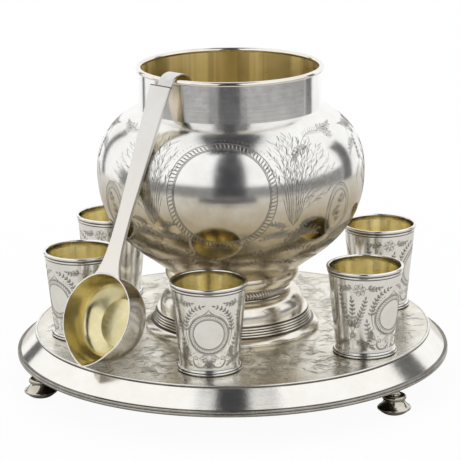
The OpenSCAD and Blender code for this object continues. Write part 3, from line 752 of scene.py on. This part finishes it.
def curl(center, outer, inner, start, stop, width):
    t = np.linspace(0, 1, 22)
    radius = outer + (inner - outer) * t
    spots = [center + polar(r, angle) for r, angle in zip(radius, start + (stop - start) * t)]
    return cut(spots, width)


def leaf(length, wide, barbs):
    upper = bezier((0, 0), (0.3 * length, wide), (0.75 * length, 0.8 * wide), (length, 0), 5)
    lower = upper * (1, -1)
    rib = [(0.08 * length, 0), (0.45 * length, 0), (0.85 * length, 0)]
    strokes = [cut(upper, 0.45), cut(lower, 0.45), cut(rib, 0.4)]
    for k in range(barbs):
        foot = (0.15 + 0.6 * k / barbs) * length
        barb = [(foot, 0), (foot + 0.1 * length, 0.3 * wide), (foot + 0.16 * length, 0.62 * wide)]
        strokes.append(cut(barb, 0.3))
    return strokes


def branch(spine, count, length, wide, spread=44, start=0.12, barbs=2):
    strokes = [cut(spine, 0.6)]
    for k in range(count):
        share = start + (1 - start) * (k + 0.4) / count
        spot, heading = along(spine, share)
        size = 1.0 - 0.5 * share
        for side in (1, -1):
            strokes += moved(leaf(length * size, wide * size, barbs), heading + side * spread, spot)
    spot, heading = along(spine, 1.0)
    return strokes + moved(leaf(0.7 * length, 0.6 * wide, barbs), heading, spot)


def feather(spine, count, reach, start=0.22, width=0.45):
    """Long blade with a rib and fine barbs that sweep towards its tip."""
    strokes = [cut(spine, width)]
    for k in range(count):
        share = start + (0.97 - start) * k / count
        spot, heading = along(spine, share)
        long = reach * (0.4 + 0.6 * math.sin(math.pi * min(1, 1.1 * share)))
        for side in (1, -1):
            barb = bezier((0, 0), (0.3 * long, 0.05 * long * side), (0.7 * long, 0.24 * long * side),
                          (long, 0.5 * long * side), 3)
            strokes += moved([cut(barb, 0.32)], heading + 8 * side, spot)
    return strokes


def flower(radius, petals):
    strokes = [oval(0.24 * radius, 0.24 * radius, 0.4, 16)]
    petal = [
        cut(bezier((0.26, -0.06), (0.5, -0.42), (0.95, -0.36), (1.0, 0), 7) * radius, 0.5),
        cut(bezier((0.26, 0.06), (0.5, 0.42), (0.95, 0.36), (1.0, 0), 7) * radius, 0.5),
        cut(np.array([(0.34, 0), (0.55, 0.02), (0.78, 0)]) * radius, 0.35),
        cut(np.array([(0.4, 0.08), (0.58, 0.16), (0.76, 0.17)]) * radius, 0.3),
        cut(np.array([(0.4, -0.08), (0.58, -0.16), (0.76, -0.17)]) * radius, 0.3),
    ]
    for k in range(petals):
        strokes += moved(petal, 360 * k / petals + 15)
    return strokes


def c_scroll(size):
    """C-shaped scroll with curled ends and a hatched back."""
    strokes = [
        cut(arc((0, 0), size, 70, 290, 22), 0.7), cut(arc((0, 0), 0.84 * size, 80, 280, 20), 0.45),
        curl((0.24 * size, 0.66 * size), 0.36 * size, 0.08 * size, 100, -330, 0.55),
        curl((0.24 * size, -0.66 * size), 0.36 * size, 0.08 * size, -100, 330, 0.55),
    ]
    for angle in np.linspace(95, 265, 15):
        hatch = [polar(0.86 * size, angle), polar(0.93 * size, angle + 3), polar(0.99 * size, angle + 6)]
        strokes.append(cut(hatch, 0.35))
    return strokes


def rope_ring(inner, outer, count):
    """Ring of slanted, slightly curved dashes between fine lines."""
    strokes = [oval(r, r, 0.6, 120) for r in (inner - 1.2, inner - 0.3, outer + 0.5)]
    turn = 300 / count
    for k in range(count):
        angle = 360 * k / count
        dash = [polar(inner + (outer - inner) * t, angle + turn * (t + 0.22 * math.sin(2 * math.pi * t)))
                for t in (0, 0.25, 0.5, 0.75, 1)]
        strokes.append(cut(dash, 0.9))
    return strokes


def dots(spine, count, size):
    strokes = []
    dot = [cut([(-0.5 * size, 0), (0, 0), (0.5 * size, 0)], 0.85 * size)]
    for k in range(count):
        spot, heading = along(spine, (k + 0.5) / count)
        strokes += moved(dot, heading + 60, spot)
    return strokes


draw = random.Random(11)
PLUME_BARB = 4.6
PLUME_BARBS = 26


def sheaf(tips):
    """Plume on a leafy collar: a bundle of upright lines, then a fan of short feathery strokes."""
    strokes = []
    for k, (x, y) in enumerate(tips):
        foot = 4.5 * (2 * k / (len(tips) - 1) - 1)
        spine = bezier((0.7 * foot, 2), (foot, 0.42 * y), (foot + 0.3 * (x - foot), 0.72 * y), (x, y), 20)
        strokes.append(cut(spine, 0.3))
        for step in range(PLUME_BARBS):
            spot, heading = along(spine, 0.40 + 0.6 * (step + draw.random()) / PLUME_BARBS)
            side = draw.choice((-1, 1))
            long = PLUME_BARB * draw.uniform(0.6, 1.3)
            barb = bezier((0, 0), (0.3 * long, 0.03 * long * side), (0.7 * long, 0.14 * long * side),
                          (long, 0.34 * long * side), 4)
            shift = spot + polar(draw.uniform(-1.4, 1.4), heading + 90)
            strokes += moved([cut(barb, draw.uniform(0.24, 0.52))], heading + draw.uniform(-14, 14), shift)
    bundle = []
    for x in (1.2, 2.5, 3.8, 5.1, 6.4):
        stem = bezier((1.5 * x, 36 - 2.4 * x), (1.15 * x, 20), (1.15 * x, 3 + 0.5 * x),
                      (0.1 * x, 0.3 * x - 1.5), 14)
        bundle.append(cut(stem, 0.55))
    collar = branch(bezier((2, -3), (8, -9), (14, -6), (21, -10), 12), 6, 5.5, 1.5)
    collar += branch(bezier((3, -1), (9, -2), (12, 3), (17, 2), 12), 5, 4.5, 1.2)
    collar += moved(leaf(11, 2.6, 3), -40, (3, -4)) + moved(leaf(9, 2.2, 3), -78, (1.5, -6))
    return strokes + both_sides(bundle + collar)


def cartouche(half_wide, half_high):
    """Upright oval frame of concentric lines with a hatched border and a spray of flowers."""
    lines = ((1, 0.7), (0.93, 0.45), (0.78, 0.6), (0.73, 0.4))
    strokes = [oval(half_wide * f, half_high * f, width) for f, width in lines]
    for angle in np.linspace(0, 360, 46, endpoint=False):
        x, y = polar(1, angle)
        strokes.append(cut([(x * half_wide * f, y * half_high * f) for f in (0.79, 0.86, 0.92)], 0.4))
    stalk = bezier((-2, -0.62 * half_high), (3, -0.3 * half_high), (-3, 0.1 * half_high),
                   (1, 0.45 * half_high), 14)
    strokes += branch(stalk, 4, 0.42 * half_wide, 0.12 * half_wide, 50)
    strokes += moved(flower(0.3 * half_wide, 5), 0, (0.22 * half_wide, 0.42 * half_high))
    return strokes + moved(flower(0.26 * half_wide, 5), 30, (-0.26 * half_wide, -0.05 * half_high))


CUT_SCALE = 1.25
CUT_SUNK = 0.03
CUT_RISE = 0.17
CUT_TIP = 0.15


def engrave(name, groups, body, place=None, scale=CUT_SCALE, finish=CUT):
    """Piece made of strokes, each a low three-sided ridge that tapers to its ends."""
    verts = []
    faces = []
    count = 0
    for strokes, lay in groups:
        for points, width, closed in strokes:
            spots, normals = lay(points)
            size = len(spots)
            if closed:
                heading = np.roll(spots, -1, 0) - np.roll(spots, 1, 0)
                taper = np.ones((size, 1))
            else:
                heading = np.gradient(spots, axis=0)
                swell = np.sin(math.pi * np.linspace(0.06, 0.94, size)) ** 0.7
                taper = (CUT_TIP + (1 - CUT_TIP) * swell)[:, None]
            side = np.cross(normals, heading)
            side /= np.maximum(np.linalg.norm(side, axis=1), 1e-9)[:, None]
            half = 0.5 * scale * width * taper * side
            sunk = spots - CUT_SUNK * normals
            crest = spots + CUT_RISE * scale * width * taper * normals
            verts.append(np.stack([sunk + half, crest, sunk - half], 1).reshape(-1, 3))
            last = size if closed else size - 1
            for k in range(last):
                a = count + 3 * k
                b = count + 3 * ((k + 1) % size)
                faces += [(a, b, b + 1, a + 1), (a + 1, b + 1, b + 2, a + 2), (a + 2, b + 2, b, a)]
            if not closed:
                end = count + 3 * (size - 1)
                faces += [(count, count + 1, count + 2), (end + 2, end + 1, end)]
            count += 3 * size
    piece(name, np.vstack(verts), faces, body, [], [finish], place=place, flat=True)


# Belly pattern: medallion on the front and the back, plumes, oval frames and sprays beside it, sprays below
belly_steps = np.linalg.norm(np.diff(belly_side, axis=0), axis=1)
belly_run = np.append(0, np.cumsum(belly_steps))
belly_run -= belly_run[len(belly_low) - 1]
belly_out = -left_normals(belly_side)


def on_belly(azimuth, height):
    """Lays a pattern on the belly; height is the distance along the outline above the widest circle."""
    def lay(points):
        run = height + points[:, 1]
        radius = np.interp(run, belly_run, belly_side[:, 0])
        angles = math.radians(azimuth) + points[:, 0] / radius
        out = np.interp(run, belly_run, belly_out[:, 0])
        spots = round_axis(radius, angles, np.interp(run, belly_run, belly_side[:, 1]))
        return spots, round_axis(out, angles, np.interp(run, belly_run, belly_out[:, 1]))
    return lay


PLUME_TIPS = [
    (-17, 42), (-14, 54), (-9, 60), (-4, 64), (1, 65), (6, 64), (11, 62), (16, 60),
    (20, 57), (25, 53), (29, 49), (33, 44), (36, 38), (39, 32), (41, 25)]
medallion = rope_ring(35.7, 39.2, 84) + dots(arc((0, 0), 42.6, 35, 145, 30), 26, 0.7)
plume = sheaf(PLUME_TIPS)
frame_oval = cartouche(13, 20)
shoulder = feather(bezier((-14, -4), (-6, 6), (4, 8), (14, 2), 16), 10, 6.5)
shoulder += moved(flower(5, 6), 0, (17, 1))
shoulder += branch(bezier((6, 4), (14, 9), (20, 4), (26, 8), 14), 5, 6, 1.6)
shoulder += branch(bezier((-7, -3), (-12, -9), (-20, -6), (-24, -12), 14), 5, 6, 1.6)
spray = branch(bezier((0, 0), (9, 3), (18, 12), (30, 9), 16), 7, 8, 2.0)
spray += branch(bezier((2, -1), (12, -6), (20, -5), (34, -12), 16), 7, 7.5, 1.8)
under = both_sides(branch(bezier((1, 0), (8, -4), (16, -3), (24, 3), 16), 6, 7, 1.7))
under += moved(leaf(12, 3, 4), -90, (0, -1))
palmette = both_sides(sheaf([(2, 52), (9, 48), (16, 41), (21, 31)]))
small_scroll = feather(bezier((-4, -8), (-7, 0), (-1, 4), (3, 5), 12), 7, 5)
small_scroll += branch(bezier((3, 5), (8, 12), (4, 18), (9, 24), 12), 5, 5.5, 1.4)

belly_groups = []
low_groups = []
for face in (266, 86):
    belly_groups.append((medallion, on_belly(face, 2)))
    low_groups += [(under, on_belly(face, -47)), (under, on_belly(face, -58))]
    for sign, flip in ((1, False), (-1, True)):
        for pattern, off, height in (
                (plume, 31, -21), (frame_oval, 56, -17), (shoulder, 48, 40), (small_scroll, 74, 4),
                (shoulder, 84, 34)):
            belly_groups.append((moved(pattern, flip=flip), on_belly(face + sign * off, height)))
        for off, height in ((25, -36), (52, -44), (14, -52), (38, -56), (64, -58)):
            low_groups.append((moved(spray, flip=flip), on_belly(face + sign * off, height)))
for side in (356, 176):
    belly_groups.append((palmette, on_belly(side, -30)))
engrave("bowl_engraving", belly_groups, "bowl", bowl_place)
engrave("bowl_engraving_low", low_groups, "bowl", bowl_place, finish=DARK)

# Cup pattern: medallion with a small peak, sprays beside it, scrolls below, flowers near the rim
cup_slope = math.atan2(CUP_TOP_R - CUP_BASE_R, CUP_H)


def on_cup(azimuth, height):
    def lay(points):
        z = height + points[:, 1]
        radius = cup_radius(z)
        angles = math.radians(azimuth) + points[:, 0] / radius
        normals = round_axis(math.cos(cup_slope), angles, np.full(len(z), -math.sin(cup_slope)))
        return round_axis(radius, angles, z), normals
    return lay


cup_mark = [oval(r, r, w) for r, w in ((11.0, 0.6), (11.8, 0.4), (14.2, 0.75), (15.1, 0.45))]
for angle in np.linspace(0, 360, 44, endpoint=False):
    cup_mark.append(cut([polar(12.1, angle), polar(13.0, angle + 3), polar(14.0, angle + 6)], 0.55))
cup_mark += both_sides([cut(bezier((5, 14.2), (3, 15.4), (1.2, 15.8), (0, 18.4), 8), 0.6)])
cup_arm = bezier((14, -9), (19.5, 0), (19, 17), (5, 20.5), 20)
cup_arms = branch(cup_arm, 9, 4.2, 1.0, 48, 0.3, 0) + dots(arc((0, 0), 17.2, 15, 62, 12), 8, 0.9)
cup_low = moved(c_scroll(5.2), 100, (6.5, -20))
cup_low += branch(bezier((11, -18), (16, -17), (19, -11), (20, -4), 12), 5, 5, 1.3)
cup_low += moved(leaf(7, 2, 3), -35, (1, -15)) + [curl((13, -23), 3, 0.5, 180, -200, 0.5)]
cup_low += dots(arc((6.5, -20), 7.2, -60, 120, 14), 9, 0.9) + dots(arc((6.5, -20), 2.4, 0, 330, 14), 6, 0.8)
cup_low += [curl((2.6, -24.5), 2.2, 0.4, 30, 400, 0.5), curl((17.5, -19), 2.4, 0.4, 200, -180, 0.5)]
cup_low += branch(bezier((15, -8), (17.5, -12), (16, -16), (18, -20), 10), 5, 3.6, 1.0)
cup_spray = branch(bezier((0, -12), (3, -3), (8, 6), (9, 17), 14), 8, 5, 1.2, 40)
cup_spray += moved(flower(2.8, 5), 0, (0, -13.5))
cup_spray += branch(bezier((0, -12), (-3, -3), (-8, 4), (-10, 13), 14), 8, 5, 1.2, 40)
cup_spray += branch(bezier((0, -11), (1.5, -4), (-1.5, 5), (0, 13), 14), 7, 5, 1.2, 40)
cup_spray += both_sides(branch(bezier((1, -16), (5, -20), (9, -19), (13, -22), 10), 5, 4.5, 1.2))
cup_bloom = flower(4.6, 6) + both_sides(branch(bezier((4, 0), (8, 3), (11, -1), (15, 1), 10), 4, 4, 1.1))
cup_back = flower(6, 8) + both_sides(moved(c_scroll(6), 0, (12, -8))) + both_sides(cup_arms)
CUP_FACES = {1: 190, 2: 222, 3: 270, 4: 320, 5: 345, 6: 82}
MARK_Z = 31
BLOOM_Z = 52
BACK_Z = 30
SPRAY_TURN = 76
BLOOM_TURN = 62
for number, spot in cups.items():
    face = CUP_FACES[number]
    cup_groups = [(cup_mark + both_sides(cup_arms + cup_low), on_cup(face, MARK_Z))]
    for sign in (1, -1):
        cup_groups.append((moved(cup_spray, flip=sign < 0), on_cup(face + sign * SPRAY_TURN, MARK_Z)))
        cup_groups.append((cup_bloom, on_cup(face + sign * BLOOM_TURN, BLOOM_Z)))
    cup_groups.append((cup_back, on_cup(face + 180, BACK_Z)))
    engrave(f"cup_{number}_engraving", cup_groups, f"cup_{number}", at_spot(spot.x, spot.y, tray_top_z))


# Tray pattern: flowers, scrolling branches, fans and fronds between the bowl's foot and the plain border
def on_tray(points):
    spots = np.column_stack([points, np.full(len(points), tray_top_z)])
    return spots, np.tile((0.0, 0.0, 1.0), (len(points), 1))


tray_arm = branch(bezier((10, 2), (24, 20), (34, -14), (50, 4), 22), 9, 9, 2.3)
tray_arm += [curl((30, 9), 6, 0.9, 200, -260, 0.6), curl((41, -9), 5.5, 0.9, -20, 420, 0.6)]
tray_arm += branch(bezier((6, -9), (10, -18), (5, -26), (14, -34), 14), 6, 7, 1.9)
tray_arm += branch(bezier((12, 9), (17, 17), (26, 17), (33, 26), 14), 6, 7, 1.9)
tray_arm += branch(bezier((22, -8), (30, -16), (26, -24), (34, -32), 14), 6, 6, 1.7)
tray_arm += moved(flower(4.2, 5), 0, (23, -13)) + moved(flower(3.6, 5), 20, (38, 14))
tray_fan = []
for x in (-14, -8, -3, 3, 8, 14):
    blade = bezier((0, 0), (0.2 * x, 9), (0.7 * x, 16), (1.3 * x, 26 - 0.5 * abs(x)), 14)
    tray_fan += feather(blade, 9, 4.5)
tray_sector = flower(9, 8) + flower(4.5, 6) + both_sides(tray_arm)


def sprig(length):
    """Curved frond with fine barbs."""
    bend = draw.uniform(-0.5, 0.5) * length
    return feather(bezier((0, 0), (0.3 * length, 0), (0.7 * length, 0.4 * bend), (length, bend), 10),
                   6, 0.36 * length, 0.1, 0.5)


SECTORS = 6
SECTOR_START = 52
PATTERN_R = 104
SPRIG_RINGS = np.arange(72, 138, 8.5)
SPRIG_WANDER = 3
CLEAR_OF_CUP = 26
tray_strokes = []
for k in range(SECTORS):
    heading = 360 / SECTORS * k + SECTOR_START
    between = heading + 180 / SECTORS
    tray_strokes += moved(tray_sector, heading - 90, polar(PATTERN_R, heading))
    tray_strokes += moved(tray_fan, between - 90, polar(PATTERN_R, between))
tray_sprigs = []
for ring in SPRIG_RINGS:
    count = int(0.5 * ring)
    for k in range(count):
        away = ring + draw.uniform(-SPRIG_WANDER, SPRIG_WANDER)
        spot = polar(away, 360 * k / count + draw.uniform(-SPRIG_WANDER, SPRIG_WANDER))
        heading = draw.uniform(0, 360)
        length = draw.uniform(8, 13)
        if min(math.dist(spot, (cup.x, cup.y)) for cup in cups.values()) > CLEAR_OF_CUP:
            tray_sprigs += moved(sprig(length), heading, spot)
            tray_sprigs += moved(sprig(0.6 * length), heading + 130, spot)
engrave("tray_engraving", [(tray_strokes, on_tray)], "tray", scale=1.0, finish=FINE_CUT)
engrave("tray_sprigs", [(tray_sprigs, on_tray)], "tray", scale=1.0, finish=FINE_CUT)


# Stage: white surround, pale floor that keeps the shadow, and studio cards seen only in the metal; in metres
CARD_R = 0.86
CARD_STEPS = 24
TOP_Z = 1.8


def card_material(name, colour):
    material, make = new_material(name)
    glow = make("Emission", {"Color": (*colour, 1), "Strength": 1.0})
    make("OutputMaterial", {"Surface": glow})
    return material


def stage_mesh(name, verts, faces, material):
    mesh = bpy.data.meshes.new(name)
    mesh.from_pydata(verts, [], faces)
    mesh.materials.append(material)
    thing = new_object(name, mesh)
    return thing


def stage_disc(name, radius, sides, material):
    ring = [(*polar(radius, angle), 0) for angle in np.linspace(0, 360, sides, endpoint=False)]
    return stage_mesh(name, ring, [tuple(range(sides))], material)


def only_in_metal(thing):
    thing.visible_camera = False
    thing.visible_diffuse = False
    thing.visible_shadow = False
    thing.visible_transmission = False


def front_spot(turn, radius):
    return tuple(polar(radius, FRONT + turn))


def card(name, colour, start, stop, low, high, radius=CARD_R):
    """Upright card on a circle round the object; start and stop are degrees right of the camera."""
    ring = [front_spot(turn, radius) for turn in np.linspace(start, stop, CARD_STEPS + 1)]
    verts = [(x, y, low) for x, y in ring] + [(x, y, high) for x, y in ring]
    faces = [(k, k + 1, k + CARD_STEPS + 2, k + CARD_STEPS + 1) for k in range(CARD_STEPS)]
    only_in_metal(stage_mesh(name, verts, faces, card_material(name, colour)))


def flat_card(name, colour, corners, height):
    verts = [(x, y, height) for x, y in corners]
    only_in_metal(stage_mesh(name, verts, [tuple(range(len(corners)))], card_material(name, colour)))


def outward_change(make, near, far):
    """Strength that changes outward; near and far are a distance from the axis and the strength there."""
    away = make("VectorMath", {0: make("TexCoord").outputs["Object"]}, operation="LENGTH").outputs["Value"]
    return make("MapRange", {
        "Value": away, "From Min": near[0], "From Max": far[0], "To Min": near[1], "To Max": far[1]})


def round_card(name, colour, radius, height, near, far):
    """Level disc whose light changes outward."""
    material, make = new_material(name)
    glow = make("Emission", {"Color": (*colour, 1), "Strength": outward_change(make, near, far)})
    make("OutputMaterial", {"Surface": glow})
    disc = stage_disc(name, radius, 64, material)
    disc.location = (0, 0, height)
    only_in_metal(disc)


def floor_material():
    """Pale floor that metal and camera see as nearly white, purely white further out."""
    material, make = new_material("pale_floor")
    fade = outward_change(make, near=(0.25, 0.95), far=(0.8, 1.0))
    rays = make("LightPath")
    seen = make("Math", {
        0: rays.outputs["Is Camera Ray"], 1: rays.outputs["Is Glossy Ray"]}, operation="ADD")
    shown = make("Math", {0: seen, 1: rays.outputs["Is Transmission Ray"]}, operation="ADD", use_clamp=True)
    share = make("Math", {0: shown, 1: fade}, operation="MULTIPLY")
    grain = make("TexNoise", {"Vector": make("TexCoord").outputs["Object"], "Scale": 30, "Detail": 4})
    tone = make("MapRange", {"Value": grain, "To Min": 0.86, "To Max": 0.92})
    diffuse = make("BsdfDiffuse", {"Color": tone})
    glow = make("Emission", {"Strength": 1.0})
    make("OutputMaterial", {"Surface": make("MixShader", {0: share, 1: diffuse, 2: glow})})
    return material


SLIT = (0.05, 0.05, 0.055)
STRIP = (0.12, 0.12, 0.12)
card("card_skirting", (0.25, 0.25, 0.25), -104, 104, 0.0, 0.197, CARD_R + 0.02)
card("card_slit", SLIT, -14, 12, 0.0, TOP_Z)
card("card_right_strip", STRIP, 105, 120, 0.0, 0.6)
card("card_left_strip", STRIP, -139, -131, 0.0, 0.6)
flat_card("card_floor_slit", SLIT, [
    front_spot(-26, 0.62), front_spot(20, 0.62), front_spot(20, 0.87), front_spot(-26, 0.87)], 0.002)
flat_card("card_top_slit", SLIT, [
    (-0.48, -0.86), (0.62, -0.86), (0.42, -0.45), (0.42, 0.30), (-0.42, 0.30), (-0.38, -0.45)
], TOP_Z - 0.02)
round_card("card_top", (1.0, 1.0, 1.0), 0.9, TOP_Z, (0.28, 0.25), (0.62, 0.95))
# The table card dims towards the middle: a painted shadow of the tray, seen only in the metal.
round_card("card_table", (1.0, 0.97, 0.91), 0.88, 0.0008, (0.145, 0.02), (0.21, 0.70))

FLOOR_R = 2.5
stage_disc("floor", FLOOR_R, 96, floor_material())

world = bpy.data.worlds.new("white_surround")
bpy.context.scene.world = world
world.use_nodes = True
background = world.node_tree.nodes["Background"]
background.inputs["Color"].default_value = (1, 1, 1, 1)
background.inputs["Strength"].default_value = 1.0
